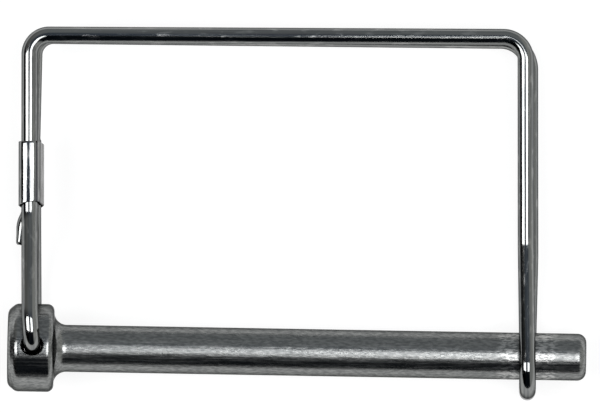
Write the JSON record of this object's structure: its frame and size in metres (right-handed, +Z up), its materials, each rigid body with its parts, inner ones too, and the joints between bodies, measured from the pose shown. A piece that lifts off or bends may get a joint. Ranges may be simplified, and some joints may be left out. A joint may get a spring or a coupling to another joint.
{
  "type": "wire lock pin",
  "caption": "Headed steel pin with a square spring-wire bail that hinges in the head and snaps over the tip to lock the pin in a hitch or clevis.",
  "frame": {"origin": "centre of the head's end face, on the pin's axis", "axes": "+X along the pin from head to tip, +Y from the pin towards the bail's top run, +Z up, square to the bail, with the part lying on its side"},
  "size_m": [0.0977, 0.0625, 0.021],
  "materials": {
    "pin_zinc": "bright zinc plate, scuffed lengthwise",
    "wire_zinc": "bright zinc plate, smooth drawn wire",
    "sleeve_zinc": "bright zinc plate, crimped sheet"
  },
  "bodies": {
    "pin": {"lock_pin": "pin_zinc"},
    "bail": {"bail_wire_front": "wire_zinc", "bail_wire_back": "wire_zinc", "crimp_sleeve": "sleeve_zinc"},
    "snap_end": {"bail_snap_end": "wire_zinc"}
  },
  "joints": [
    {"name": "bail_swing", "type": "hinge", "parent": "pin", "child": "bail", "pos_m": [0.0042, 0, 0], "axis": [0, 0, 1], "range_deg": [0, 240]},
    {"name": "snap_flex", "type": "hinge", "parent": "bail", "child": "snap_end", "pos_m": [0.08884, 0.04968, 0], "axis": [0, 0, 1], "range_deg": [0, 12.5], "stiffness_Nm_per_rad": 10}
  ]
}
